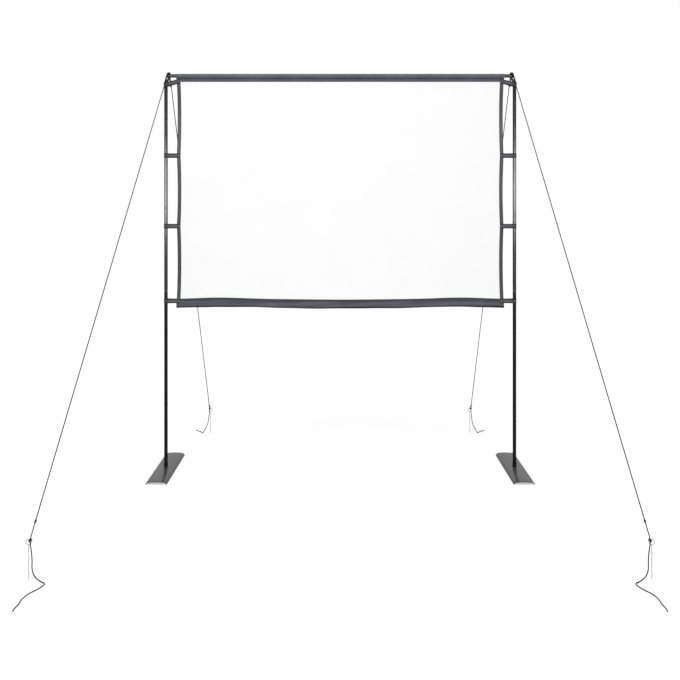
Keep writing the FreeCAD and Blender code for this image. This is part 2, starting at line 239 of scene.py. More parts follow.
def painted(name, dark, light, rough, spec, streaks=(1, 1, 1)):
    """Paint with cloudy colour, worn streaks and a fine orange peel."""
    s = Shade(name, dark, sum(rough) / 2, 0.0, spec)
    s.set("Base Color", s.worn(dark, light, streaks, 1.0, 0.5))
    s.uneven(PAINT_SCALE, rough)
    s.grained(*PAINT_PEEL)
    return s.mat


def enamel(name, dark, light, rough, streaks):
    """Glossy black enamel on steel tube, with rubbed streaks and a faint orange peel."""
    s = Shade(name, dark, sum(rough) / 2, 1.0)
    s.set("Specular Tint", (0.06, 0.06, 0.06, 1.0))
    s.set("Base Color", s.worn(dark, light, streaks, 0.6, 1.0))
    s.uneven(PAINT_SCALE, rough)
    s.grained(*ENAMEL_PEEL)
    return s.mat


def plate_coat(name, dark, light, fold_shade):
    """Smooth grey paint on a plate, rubbed in streaks, with painted shade along its folds and edges."""
    s = Shade(name, dark, 0.25)
    spot = s.parts(s.place())
    outwards = s.math("SUBTRACT", s.math("ABSOLUTE", spot[0]), POLE_X)
    side_fold_shade = s.math("MAXIMUM", s.remap(outwards, *OUTER_FOLD_SHADE), s.remap(outwards, *INNER_FOLD_SHADE))
    end_edge_shade = s.remap(s.math("ABSOLUTE", spot[1]), *END_EDGE_SHADE)
    coat = s.worn(dark, light, ALONG_PLATE, 1.0, 0.5)
    # The dark lines along the folds and edges are painted shade
    s.set("Base Color", s.mix(s.math("MAXIMUM", side_fold_shade, end_edge_shade), coat, fold_shade))
    s.uneven(PAINT_SCALE, (0.19, 0.28))
    s.grained(*PLATE_PEEL)
    return s.mat


def bare_metal(name, dark, light, rough, spangle):
    """Zinc-coated steel with crystal patches and fine scratches."""
    s = Shade(name, dark, sum(rough) / 2, 1.0)
    cells = s.node("TexVoronoi", {"Vector": s.place(), "Scale": spangle}).outputs["Color"]
    patch = s.node("SeparateColor", {0: cells}).outputs[0]
    s.set("Base Color", s.mix(patch, dark, light))
    s.uneven(300.0, rough)
    s.grained(*ZINC_GRAIN)
    return s.mat


def moulded(name, dark, light):
    """Black plastic with a fine moulded grain and scuffs."""
    s = Shade(name, dark, 0.5, 0.0, 0.35)
    scuff = s.remap(s.noise(s.place(), 220.0, 4.0), 0.55, 0.75)
    s.set("Base Color", s.mix(scuff, dark, light))
    s.uneven(500.0, (0.42, 0.6), 2.0)
    s.grained(*PLASTIC_GRAIN)
    return s.mat


def woven(name, dark, light, pitch, depth, rough, with_painted_shade=False):
    """Plain weave: threads over and under in both directions, with slubs."""
    s = Shade(name, light, rough, 0.0, 0.25)
    source, along, across = s.cloth_uv()
    weave = s.math("MULTIPLY", s.wave(along, pitch * 2), s.wave(across, pitch * 2))
    slub = s.noise(s.scaled(source, (6, 60, 1)), 9.0, 4.0)
    broad = s.math("SUBTRACT", s.noise(source, 5.0, 3.0), 0.5)
    tone = s.math("ADD", s.math("MULTIPLY", weave, 0.22), s.math("ADD", slub, broad))
    colour = s.mix(s.remap(tone, 0.15, 0.85), dark, light)
    s.set("Base Color", s.with_painted_shade(colour) if with_painted_shade else colour)
    s.set("Sheen Weight", 0.1)
    s.bump(s.math("ADD", weave, s.math("MULTIPLY", slub, 0.5)), depth)
    return s.mat


def webbing(name, edge, middle):
    """Strap webbing: cross ribs, a herringbone and dark woven edges."""
    s = Shade(name, middle, 0.8, 0.0, 0.25)
    source, along, across = s.cloth_uv()
    off_centre = s.math("ABSOLUTE", s.math("SUBTRACT", across, STRAP_HALF))
    slanted = s.math("ADD", along, s.math("MULTIPLY", off_centre, RIB_SLANT))
    crossing = s.math("MULTIPLY", s.wave(across, CROSS_PITCH), 0.6)
    ribs = s.math("ADD", s.wave(slanted, RIB_PITCH), crossing)
    fray = s.math("MULTIPLY", s.noise(source, 900.0, 2.0), FRAY)
    selvedge = s.remap(s.math("ADD", off_centre, fray), *SELVEDGE)
    raised = s.remap(s.math("ADD", ribs, s.noise(source, 160.0, 3.0)), -0.7, 1.9)
    plain = s.mix(raised, tuple(0.62 * c for c in middle), tuple(1.25 * c for c in middle))
    s.set("Base Color", s.with_painted_shade(s.mix(selvedge, plain, edge)))
    s.set("Sheen Weight", 0.15)
    s.bump(ribs, 0.00018)
    return s.mat


def braided(name, dark, light):
    """Braided cord: strands that cross in two directions round the cord."""
    s = Shade(name, dark, 0.75, 0.0, 0.15)
    source, around, along = s.cloth_uv()
    turns = s.math("MULTIPLY", around, BRAID_STRANDS)
    steps = s.math("MULTIPLY", along, 1 / BRAID_STEP)
    one = s.wave(s.math("ADD", turns, steps), 1.0)
    two = s.wave(s.math("SUBTRACT", turns, steps), 1.0)
    weave = s.math("MAXIMUM", one, two)
    fleck = s.noise(source, 700.0, 2.0)
    s.set("Base Color", s.mix(s.remap(s.math("ADD", weave, fleck), 0.1, 1.7), dark, light))
    s.set("Sheen Weight", 0.1)
    s.bump(weave, 0.0003)
    return s.mat


def thread(name, dark, light):
    """Sewing thread."""
    s = Shade(name, light, 0.7, 0.0, 0.3)
    s.set("Base Color", s.mix(s.noise(s.place(), 2200.0, 2.0), dark, light))
    s.grained(*THREAD_GRAIN)
    return s.mat


def sealed(name, dark, light):
    """The melted end of a cord."""
    s = Shade(name, dark, 0.35, 0.0, 0.4)
    s.set("Base Color", s.mix(s.noise(s.place(), 900.0, 3.0), dark, light))
    s.uneven(1200.0, (0.25, 0.5), 2.0)
    s.grained(*MELTED_GRAIN)
    return s.mat


# Each finish has its darker and its lighter colour, then its roughness from and to
pole_paint = enamel(
    "pole_black_enamel", (0.022, 0.022, 0.0225), (0.033, 0.033, 0.0335), (0.15, 0.20), UP_POLE)
# Painted shade: the lower tube has a darker copy of the pole's enamel, for the dimmer sheen low on the pole
lower_pole_shaded_enamel = enamel(
    "lower_pole_enamel_painted_shade", (0.011, 0.011, 0.0113), (0.018, 0.018, 0.0183), (0.17, 0.23), UP_POLE)
bar_paint = enamel(
    "bar_black_enamel", (0.026, 0.026, 0.0265), (0.036, 0.036, 0.0365), (0.13, 0.18), ALONG_BAR)
plate_paint = plate_coat(
    "plate_grey_paint", (0.037, 0.037, 0.0385), (0.053, 0.053, 0.0545), fold_shade=(0.009, 0.009, 0.0095))
joiner_paint = painted(
    "joiner_satin", (0.026, 0.026, 0.027), (0.042, 0.042, 0.043), (0.34, 0.46), 0.3, ROUND_JOINER)
pin_paint = painted("pin_black_oxide", (0.008, 0.008, 0.0085), (0.02, 0.02, 0.021), (0.3, 0.45), 0.35)
zinc = bare_metal("bolt_zinc", (0.46, 0.46, 0.47), (0.62, 0.62, 0.62), (0.25, 0.4), 180.0)
galvanised = bare_metal(
    "peg_galvanised", (0.50, 0.502, 0.508), (0.63, 0.63, 0.634), (0.40, 0.52), 260.0)
plastic = moulded("black_plastic_grain", (0.010, 0.010, 0.0105), (0.022, 0.022, 0.023))
white_weave = woven(
    "screen_white_weave", (0.922, 0.922, 0.922), (0.945, 0.945, 0.945),
    pitch=0.0007, depth=0.00004, rough=0.9)
hem_weave = woven(
    "hem_slate_weave", (0.052, 0.052, 0.066), (0.108, 0.108, 0.130),
    pitch=0.0009, depth=0.00016, rough=0.82, with_painted_shade=True)
strap_weave = webbing("strap_webbing_weave", edge=(0.028, 0.028, 0.031), middle=(0.118, 0.118, 0.124))
rope_weave = braided("rope_braid", (0.006, 0.006, 0.0065), (0.030, 0.030, 0.032))
hem_thread = thread("hem_thread", (0.022, 0.022, 0.028), (0.05, 0.05, 0.06))
strap_thread = thread("strap_thread", (0.012, 0.012, 0.013), (0.03, 0.03, 0.032))
rope_end = sealed("rope_melted_end", (0.005, 0.005, 0.0055), (0.02, 0.02, 0.021))

CAD_FINISH = {
    "pole_lower": lower_pole_shaded_enamel, "pole_upper": pole_paint, "pole_socket": pole_paint,
    "bar_end": bar_paint, "bar_middle": bar_paint, "base_plate": plate_paint,
    "pole_joiner": joiner_paint, "bar_joiner": joiner_paint, "corner_pin": pin_paint,
    "base_bolt": zinc, "peg_front": galvanised, "peg_rear": galvanised,
    "pole_foot": plastic, "pole_plug": plastic, "bar_cap": plastic
}
for node_name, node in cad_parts.items():
    for start, finish in CAD_FINISH.items():
        if node_name.startswith(start):
            node.data.materials.clear()
            node.data.materials.append(finish)


# -------- mesh helpers

# A stitch's ends are sunk by this share of its radius, and it is full to this share of its length
STITCH_SUNK = 0.6
STITCH_FULL = 0.3

# Degrees from which an edge stays sharp, and sides of tubes and turned pieces
SHARP = 50.0
TUBE_SIDES = 10
LATHE_SIDES = 28


def mesh_piece(name, points, faces, corner_uvs, finish, slot, sharp=SHARP, painted_shades=None, body="frame"):
    """A named piece that rides a body."""
    mesh = bpy.data.meshes.new(name)
    mesh.from_pydata([tuple(p) for p in points], [], faces)
    if corner_uvs is not None:
        layer = mesh.uv_layers.new(name="cloth")
        layer.data.foreach_set("uv", np.asarray(corner_uvs, dtype=np.float32).ravel())
    # The tone stored on a piece is painted light and shade
    if painted_shades is not None:
        layer = mesh.attributes.new("tone", "FLOAT", "POINT")
        layer.data.foreach_set("value", np.asarray(painted_shades, dtype=np.float32).ravel())
    mesh.polygons.foreach_set("use_smooth", [True] * len(mesh.polygons))
    mesh.set_sharp_from_angle(angle=math.radians(sharp))
    mesh.materials.append(finish)
    mesh.validate()
    made = bpy.data.objects.new(name, mesh)
    scene.collection.objects.link(made)
    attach(made, body)
    return made


def loft_data(rows, uvs, round_it, capped):
    """Quads over a grid of points; uvs has one more column where the rows close on themselves."""
    rows = np.asarray(rows, float)
    uvs = np.asarray(uvs, float)
    count, width = rows.shape[:2]
    faces, corners = [], []
    for i in range(count - 1):
        for j in range(width if round_it else width - 1):
            k = (j + 1) % width
            faces.append((i * width + j, i * width + k, (i + 1) * width + k, (i + 1) * width + j))
            corners += [uvs[i, j], uvs[i, j + 1], uvs[i + 1, j + 1], uvs[i + 1, j]]
    if capped:
        faces.append(tuple(range(width))[::-1])
        corners += [uvs[0, j] for j in range(width)][::-1]
        last = (count - 1) * width
        faces.append(tuple(last + j for j in range(width)))
        corners += [uvs[-1, j] for j in range(width)]
    return rows.reshape(-1, 3), faces, corners


def flip(x, points):
    """Mirrors points to the right side where x is -1."""
    return [Vector((p[0] * x, p[1], p[2])) for p in points]


def circle(centre, side, up, radius, sides):
    angles = [TAU * j / sides for j in range(sides)]
    return [centre + (side * math.cos(a) + up * math.sin(a)) * radius for a in angles]


def frames_along(path):
    """Two cross directions at each point of a path, carried along without twist."""
    last = len(path) - 1
    tangents = [(path[min(i + 1, last)] - path[max(i - 1, 0)]).normalized() for i in range(last + 1)]
    side = tangents[0].orthogonal().normalized()
    made = []
    for t in tangents:
        side = (side - t * side.dot(t)).normalized()
        made.append((side.copy(), t.cross(side).normalized()))
    return made


def tube_data(path, radii, sides=TUBE_SIDES):
    """A capped tube; the second cloth coordinate is the length along it."""
    path = [Vector(p) for p in path]
    if not hasattr(radii, "__len__"):
        radii = [radii] * len(path)
    rows, uvs, far = [], [], 0.0
    for i, (side, up) in enumerate(frames_along(path)):
        if i:
            far += (path[i] - path[i - 1]).length
        rows.append(circle(path[i], side, up, radii[i], sides))
        uvs.append([(j / sides, far) for j in range(sides + 1)])
    return loft_data(rows, uvs, True, True)


def normals(path):
    """Unit normals of a flat path, to the left of its direction."""
    made = []
    for before, after in zip([path[0]] + path[:-1], path[1:] + [path[-1]]):
        across, up = after[0] - before[0], after[1] - before[1]
        size = math.hypot(across, up)
        made.append((-up / size, across / size))
    return made


def lengths_along(path):
    """Length of a flat path up to each of its points."""
    made = [0.0]
    for first, second in zip(path, path[1:]):
        made.append(made[-1] + math.hypot(second[0] - first[0], second[1] - first[1]))
    return made


def joined(*parts):
    """Several lofts as one."""
    points, faces, corners = [], [], []
    for some, quads, uv in parts:
        start = len(points)
        points += [tuple(p) for p in some]
        faces += [tuple(start + i for i in f) for f in quads]
        corners += list(uv)
    return points, faces, corners


def lathe_data(profile, centre, axis):
    """Turns a closed profile of (radius, height) about an axis."""
    axis = Vector(axis).normalized()
    side = axis.orthogonal().normalized()
    up = axis.cross(side)
    rows, uvs = [], []
    for radius, height in list(profile) + [profile[0]]:
        rows.append(circle(Vector(centre) + axis * height, side, up, radius, LATHE_SIDES))
        uvs.append([(j / LATHE_SIDES, height) for j in range(LATHE_SIDES + 1)])
    return loft_data(rows, uvs, True, False)


def stitch_data(seams, length=0.0034, radius=0.00035):
    """Small raised thread beads; each seam is a list of (place, direction, outward)."""
    points, faces = [], []
    for place, along, out in seams:
        place, along, out = Vector(place), Vector(along).normalized(), Vector(out).normalized()
        across = along.cross(out)
        start = len(points)
        half = along * (length / 2)
        sunk = out * radius * STITCH_SUNK
        points += [place - half - sunk, place + half - sunk]
        for part in (-STITCH_FULL, STITCH_FULL):
            mid = place + along * (length * part)
            points += [mid + across * radius, mid + out * radius, mid - across * radius, mid - out * radius]
        first, second = start + 2, start + 6
        for j in range(4):
            k = (j + 1) % 4
            faces.append((start, first + k, first + j))
            faces.append((first + j, first + k, second + k, second + j))
            faces.append((second + j, second + k, start + 1))
    return points, faces, None


def seam_line(start, end, out, pitch):
    """Stitches on a straight line."""
    start, end = Vector(start), Vector(end)
    count = max(1, int((end - start).length / pitch))
    return [(start.lerp(end, (i + 0.5) / count), end - start, out) for i in range(count)]


def seam_pair(x, y, half, z, along):
    """One stitch on the front of a cloth and one on its back."""
    return [((x, y - half, z), along, (0, -1, 0)), ((x, y + half, z), along, (0, 1, 0))]


def smooth(t):
    """Goes from nought to one with soft ends."""
    t = np.clip(t, 0, 1)
    return t * t * (3 - 2 * t)


def dent(place, middle, wide):
    """One at the middle, and less on both sides of it."""
    return math.exp(-((place - middle) / wide) ** 2)


def arch(t):
    """Nought at both ends and one half way."""
    return 4 * t * (1 - t)


def ripple(place, pitch, phase=0.0):
    return np.sin(TAU * place / pitch + phase)


# -------- screen cloth

CLOTH_THICK = 0.0006
CLOTH_TUCK = 0.012
DRAWN_TUCK = 0.011
CLOTH_STEPS = (181, 125)

# Out of plane: a broad bow with its waves across and up (rate and place), ripples near the bands
# (size, reach, pitch and phase), and creases that fan out from the straps
BOW, BOW_ACROSS, BOW_UP = 0.0022, (2.1, 0.4), (2.6, 0.9)
LOW_RIPPLE = (0.0014, 0.22, 0.37, 0.8)
TOP_RIPPLE = (0.0009, 0.12, 0.21, 0.0)
CREASE, CREASE_REACH, CREASE_RAYS = 0.0010, 0.16, 13

# The cloth is flat this far in from its edge, and free beyond that
HELD_FLAT, GETS_FREE = 0.014, 0.10

HEM_STOPS = (PANEL_TOP, STRAP_Z["upper"], STRAP_Z["middle"], PANEL_LOW)


def cloth_y(x, z):
    """How far the stretched cloth stands out of its plane."""
    from_side = PANEL_HALF + CLOTH_TUCK - np.abs(x)
    from_top = PANEL_TOP + CLOTH_TUCK - z
    from_low = z - PANEL_LOW + CLOTH_TUCK
    near = np.minimum(np.minimum(from_side, from_top), from_low)
    y = BOW * np.sin(BOW_ACROSS[0] * x + BOW_ACROSS[1]) * np.sin(BOW_UP[0] * (z - BOW_UP[1]))
    for away, (size, reach, pitch, phase) in ((from_low, LOW_RIPPLE), (from_top, TOP_RIPPLE)):
        y = y + size * np.exp(-away / reach) * ripple(x, pitch, phase)
    for height in HEM_STOPS:
        for side in (-1, 1):
            dx = np.abs(x - side * HEM_HALF)
            dz = z - height
            rays = np.cos(CREASE_RAYS * np.arctan2(dz, dx))
            y = y + CREASE * np.exp(-np.hypot(dx, dz) / CREASE_REACH) * rays
    return y * smooth((near - HELD_FLAT) / GETS_FREE)


across = np.linspace(-PANEL_HALF - DRAWN_TUCK, PANEL_HALF + DRAWN_TUCK, CLOTH_STEPS[0])
upward = np.linspace(PANEL_LOW - DRAWN_TUCK, PANEL_TOP + DRAWN_TUCK, CLOTH_STEPS[1])
grid_x, grid_z = np.meshgrid(across, upward)
cloth_rows = np.stack([grid_x, cloth_y(grid_x, grid_z), grid_z], axis=-1)
cloth_uv = np.stack([grid_x, grid_z], axis=-1)
cloth = mesh_piece("screen_cloth", *loft_data(cloth_rows, cloth_uv, False, False), white_weave,
                   "white_cloth")
thick = cloth.modifiers.new("thickness", "SOLIDIFY")
thick.thickness = CLOTH_THICK
thick.offset = 0.0
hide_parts("screen_panel")


# -------- side hems

STITCH_PITCH = 0.0045
PUCKER_PITCH = 0.0135
PUCKER_CHANGE = 0.5
END_GAP = 0.0003
STRIP_CLOSE = 0.002

# How far from the ends of a hem or a band its stitches start and stop
HEM_SEAM_ENDS = (0.003, 0.002)
BAND_SEAM_ENDS = (0.004, 0.003)

HEM_STEPS = 300
HEM_END_GAP = 0.0002
HEM_SEAMS = (0.16, 0.84)
HEM_SHARES = (0, 0.05, 0.11, 0.16, 0.21, 0.3, 0.42, 0.54, 0.66, 0.76, 0.84, 0.9, 0.95, 0.985, 1.0)

# Between the straps the outer and inner edges are drawn in, and the hem leans out of plane
HEM_DRAWN, HEM_SCALLOP, HEM_LAP = 0.005, 0.0045, 0.0017
HEM_LEAN, HEM_LEAN_RATE, HEM_LEAN_PHASE = 0.0016, 9.0, 1.0

# Half thickness at the inner edge and what the fold adds; the outer edge is rounded
HEM_THIN, HEM_FOLD, HEM_FOLD_WIDE = 0.00085, 0.00035, 0.25
HEM_ROUND, HEM_LEAST = 0.86, 0.04
HEM_PUCKER, HEM_PUCKER_WIDE, HEM_PUCKER_TURN = 0.00022, 0.09, 9

# Painted shade: tone in the middle of the hem, and how it drops towards both folded edges
HEM_TONE, HEM_EDGE_SHADE_DROP, HEM_EDGE_SHADE_FROM, HEM_EDGE_SHADE_REACH = 1.12, 0.55, 0.18, 0.30

# Painted light and shade in long stretches that are paler or darker: height, reach and change
HEM_LIGHT_AND_SHADE_STRETCHES = ((1.78, 0.20, 0.30), (1.27, 0.09, -0.24), (2.05, 0.06, -0.16), (1.04, 0.08, -0.14))


def strip_piece(name, lines):
    """A folded strip of hem; each line across it is a list of (front, back, cloth coordinate, tone)."""
    # The tones across the strip are painted light and shade
    rows, uvs, painted_shades = [], [], []
    for line in lines:
        front, back, uv, tone = zip(*line)
        rows.append(front + back[::-1])
        painted_shades.append(tone + tone[::-1])
        edge = uv[-1][0]
        turn = [(edge + (edge - u), v) for u, v in uv[::-1]]
        uvs.append(list(uv) + turn + [(turn[-1][0] + STRIP_CLOSE, turn[-1][1])])
    return mesh_piece(name, *loft_data(rows, uvs, True, True), hem_weave, "hem_cloth", painted_shades=painted_shades)


def sewn_piece(name, seams):
    """The stitching of a hem or band."""
    return mesh_piece(name, *stitch_data(seams), hem_thread, "hem_cloth")


def hem_edge(z):
    """The hem's outer edge, and the share of the way between two straps."""
    for upper, lower in zip(HEM_STOPS, HEM_STOPS[1:]):
        if lower <= z <= upper:
            t = (z - lower) / (upper - lower)
            return HEM_HALF - HEM_DRAWN * arch(t), t
    return HEM_HALF, 0.0


def hem_surface(z, w):
    """Distance from the middle, half thickness and lean at a height and a share of the hem's width."""
    edge, t = hem_edge(z)
    inner = PANEL_HALF + HEM_LAP - HEM_SCALLOP * arch(t)
    x = inner + (edge - inner) * w
    half = HEM_THIN + HEM_FOLD * smooth(w / HEM_FOLD_WIDE)
    if w > HEM_ROUND:
        half *= math.sqrt(max(HEM_LEAST, 1 - ((w - HEM_ROUND) / (1 - HEM_ROUND)) ** 2))
    for line in HEM_SEAMS:
        pucker = 1 + PUCKER_CHANGE * ripple(z, PUCKER_PITCH, HEM_PUCKER_TURN * line)
        half -= HEM_PUCKER * pucker * dent(w, line, HEM_PUCKER_WIDE)
    lean = HEM_LEAN * w * w * arch(t) * math.sin(HEM_LEAN_RATE * z + HEM_LEAN_PHASE)
    return x, half, lean


def hem_painted_shading(z, w):
    """Painted shade towards the folded edges, and painted light and shade in long paler or darker stretches.
    """
    stretch = 1.0 + sum(change * dent(z, at, reach) for at, reach, change in HEM_LIGHT_AND_SHADE_STRETCHES)
    return stretch * (HEM_TONE - HEM_EDGE_SHADE_DROP * smooth((abs(w - 0.5) - HEM_EDGE_SHADE_FROM) / HEM_EDGE_SHADE_REACH))


hem_pieces = []
hem_heights = np.linspace(PANEL_LOW + HEM_END_GAP, PANEL_TOP - HEM_END_GAP, HEM_STEPS)
hem_stitches = np.arange(PANEL_LOW + HEM_SEAM_ENDS[0], PANEL_TOP - HEM_SEAM_ENDS[1], STITCH_PITCH)
for side, k in SIDES:
    lines = []
    for z in hem_heights:
        spots = [(*hem_surface(z, w), hem_painted_shading(z, w)) for w in HEM_SHARES]
        lines.append([((-k * x, lean - half, z), (-k * x, lean + half, z), (x - PANEL_HALF, z), tone)
                      for x, half, lean, tone in spots])
    hem = strip_piece("side_hem_cloth_" + side, lines)
    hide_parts("side_hem_" + side)
    seams = []
    for line in HEM_SEAMS:
        for z in hem_stitches:
            x, half, lean = hem_surface(z, line)
            seams += seam_pair(-k * x, lean, half, z, (0, 0, 1))
    sewn = sewn_piece("side_hem_stitching_" + side, seams)
    hem_pieces += [hem, sewn]


# -------- top band

# One cloth laid over the bar and sewn together under it; places are (y, z) from the bar's middle
SEAM_DROP = 0.0172
SEAM_HALF = 0.0009
SLEEVE_R = 0.01045
SLEEVE_STEPS = 32
BAND_CLOTH_HALF = 0.00042
BAND_STEPS = 420
BAND_FLAP = [
    (-0.0010, -0.0330), (-0.0011, -0.0300), (-0.0012, -0.0265), (-0.0012, -0.0230),
    (-0.0011, -0.0200), (-0.0009, -0.0184), (-0.0008, -0.0172), (-0.0022, -0.0158)
]

# Seams of the band: how far under the bar's middle, and how far out of the middle plane
BAND_SEAMS = ((0.0178, 0.0013), (0.0308, 0.0015))

# Folds of the loose cloth over the bar, gathers at its ends and puckers along the seams
FOLD, FOLD_PITCH = 0.00030, 0.061
FOLD_STRAY, FOLD_STRAY_RATE = 2.5, 5
FOLD_SLANT, FOLD_SLANT_REACH = 3.0, 0.01
GATHER, GATHER_PITCH, GATHER_SLANT = 0.00018, 0.0145, 0.004
GATHER_FROM, GATHER_REACH = 0.80, 0.10
LOOSE_REACH = 0.006
BAND_PUCKER = 0.00012

# Painted light and shade: tones over the bar, on the flap, in the fold under the bar and along the lower
# edge
BAR_LIGHT_TONE, BAR_LIGHT_GAIN, BAR_LIGHT_FROM, BAR_LIGHT_REACH = 1.30, 0.42, -0.0100, 0.0140
FLAP_TONE = 1.28
CREVICE_SHADE_DROP, CREVICE_SHADE_Z, CREVICE_SHADE_WIDE = 0.66, -0.0150, 0.0032
BAND_EDGE_SHADE_DROP, BAND_EDGE_SHADE_FROM, BAND_EDGE_SHADE_REACH = 0.34, -0.0270, 0.0050

band_turn = math.acos(SLEEVE_R / math.hypot(SEAM_DROP, SEAM_HALF))
band_profile = list(BAND_FLAP)
for step in range(SLEEVE_STEPS + 1):
    a = -math.pi / 2 - band_turn - (TAU - 2 * band_turn) * step / SLEEVE_STEPS
    band_profile.append((SLEEVE_R * math.cos(a), SLEEVE_R * math.sin(a)))
band_profile += [(-y, z) for y, z in BAND_FLAP[::-1]]
band_normals = normals(band_profile)


def band_loop(x, shift):
    """The band's cross-section at x, moved outwards by shift, with small folds where it is loose."""
    made = []
    gather = smooth((abs(x) - GATHER_FROM) / GATHER_REACH)
    for (y, z), (ny, nz) in zip(band_profile, band_normals):
        loose = smooth((z + SEAM_DROP) / LOOSE_REACH)
        stray = FOLD_STRAY * math.sin(FOLD_STRAY_RATE * x) + FOLD_SLANT * y / FOLD_SLANT_REACH
        fold = FOLD * (1 + ripple(x, FOLD_PITCH, stray))
        fold += GATHER * gather * (1 + ripple(x, GATHER_PITCH, y / GATHER_SLANT))
        pucker = BAND_PUCKER * (1 - loose) * ripple(x, PUCKER_PITCH)
        move = shift + fold * loose + pucker
        made.append((x, y + ny * move, BAR_Z + z + nz * move))
    return made


def band_painted_shading(z):
    """Painted light over the bar, and painted shade in the fold under it and along the lower edge."""
    if z > BAR_LIGHT_FROM:
        return BAR_LIGHT_TONE + BAR_LIGHT_GAIN * smooth((z - BAR_LIGHT_FROM) / BAR_LIGHT_REACH)
    tone = FLAP_TONE - CREVICE_SHADE_DROP * dent(z, CREVICE_SHADE_Z, CREVICE_SHADE_WIDE)
    return tone - BAND_EDGE_SHADE_DROP * smooth((BAND_EDGE_SHADE_FROM - z) / BAND_EDGE_SHADE_REACH)


lengths = lengths_along(band_profile)
# Painted light and shade round the band's cross-section
band_painted_shades = [band_painted_shading(z) for y, z in band_profile]
rows, uvs, painted_shades = [], [], []
for x in np.linspace(-BAND_HALF + END_GAP, BAND_HALF - END_GAP, BAND_STEPS):
    outer = band_loop(x, BAND_CLOTH_HALF)
    inner = band_loop(x, -BAND_CLOTH_HALF)
    rows.append(outer + inner[::-1])
    painted_shades.append(band_painted_shades + band_painted_shades[::-1])
    uvs.append([(x, v) for v in lengths] + [(x, v) for v in lengths[::-1]] + [(x, 0.0)])
top_band = mesh_piece("top_band_cloth", *loft_data(rows, uvs, True, True), hem_weave, "hem_cloth",
                      painted_shades=painted_shades)
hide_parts("top_band")
stitch_places = np.arange(-BAND_HALF + BAND_SEAM_ENDS[0], BAND_HALF - BAND_SEAM_ENDS[1], STITCH_PITCH)
seams = []
for x in stitch_places:
    for drop, half in BAND_SEAMS:
        seams += seam_pair(x, 0.0, half, BAR_Z - drop, (1, 0, 0))
top_sewn = sewn_piece("top_band_stitching", seams)
hem_pieces += [top_band, top_sewn]


# -------- bottom band

LOW_STEPS = 440
LOW_SEAMS = (0.09, 0.86)
LOW_SHARES = (
    0, 0.04, 0.09, 0.14, 0.22, 0.32, 0.43, 0.54, 0.65, 0.75, 0.82, 0.86, 0.885, 0.91, 0.94,
    0.97, 0.99, 1.0
)

# Height of the lower edge at the band's end, a quarter of the way in, half way in and in its middle
LOW_EDGE_Z = (0.889, 0.894, 0.8915, 0.885)

# Upper edge: a hump on each side and a dip in the middle
LOW_HUMP, LOW_HUMP_X, LOW_HUMP_WIDE = 0.0075, 0.66, 0.17
LOW_DIP, LOW_DIP_WIDE = 0.0040, 0.30

# Swing out of plane below the held share of the height: size, pitch and phase; none towards the ends
LOW_SWINGS = ((0.0058, 0.53, 0.6), (0.0032, 0.227, 2.0))
LOW_HELD, LOW_SWING_POWER = 0.27, 1.3
LOW_STILL_FROM, LOW_STILL_REACH = 0.72, 0.14

# Half thickness at the top and what the fold adds; then the rolled lower edge
LOW_THIN, LOW_FOLD, LOW_FOLD_WIDE = 0.00090, 0.00030, 0.2
ROLL_FROM, ROLL_MIDDLE, ROLL_REACH, ROLL_R, ROLL_LEAST = 0.88, 0.94, 0.062, 0.0017, 0.03
LOW_PUCKER, LOW_PUCKER_WIDE = 0.00025, 0.035

# Tones: plain, darker along the top, and painted shade on the rolled edge, whose drop changes along the band
LOW_TONE = 1.16
LOW_TOP_DROP, LOW_TOP_FROM, LOW_TOP_REACH = 0.50, 0.24, 0.14
ROLLED_SHADE_DROP, ROLLED_SHADE_CHANGE, ROLLED_SHADE_PITCH, ROLLED_SHADE_PHASE = 0.62, 0.28, 0.83, 0.9
ROLLED_SHADE_FROM, ROLLED_SHADE_REACH = 0.74, 0.14

# Streaks of painted light and shade between them: two slanted waves, by turns over the height, pitch along
# the band and phase
SHADING_STREAK, SHADING_STREAK_FROM, SHADING_STREAK_TO = 0.20, (0.20, 0.1), (0.80, 0.08)
WIDE_TURNS, WIDE_PITCH, WIDE_STRAY, WIDE_STRAY_RATE = 1.7, 0.61, 1.5, 4.1
FINE_SHARE, FINE_TURNS, FINE_PITCH, FINE_PHASE = 0.5, 3.1, 0.47, 0.7


def low_edge(x):
    """Lower edge of the bottom band: up near its ends and down in the middle."""
    ax = abs(x)
    half_way = BAND_HALF / 2
    at_end, at_quarter, at_half, at_middle = LOW_EDGE_Z
    if ax > half_way:
        spots = ((BAND_HALF, at_end), (BAND_HALF * 0.75, at_quarter), (half_way, at_half))
    else:
        spots = ((-half_way, at_half), (0.0, at_middle), (half_way, at_half))
    (a, fa), (b, fb), (c, fc) = spots
    return (fa * (ax - b) * (ax - c) / ((a - b) * (a - c))
            + fb * (ax - a) * (ax - c) / ((b - a) * (b - c))
            + fc * (ax - a) * (ax - b) / ((c - a) * (c - b)))


def low_top(x):
    """Upper edge of the bottom band: down in the middle and up towards its ends."""
    ax = abs(x)
    return PANEL_LOW + LOW_HUMP * dent(ax, LOW_HUMP_X, LOW_HUMP_WIDE) - LOW_DIP * dent(ax, 0.0, LOW_DIP_WIDE)


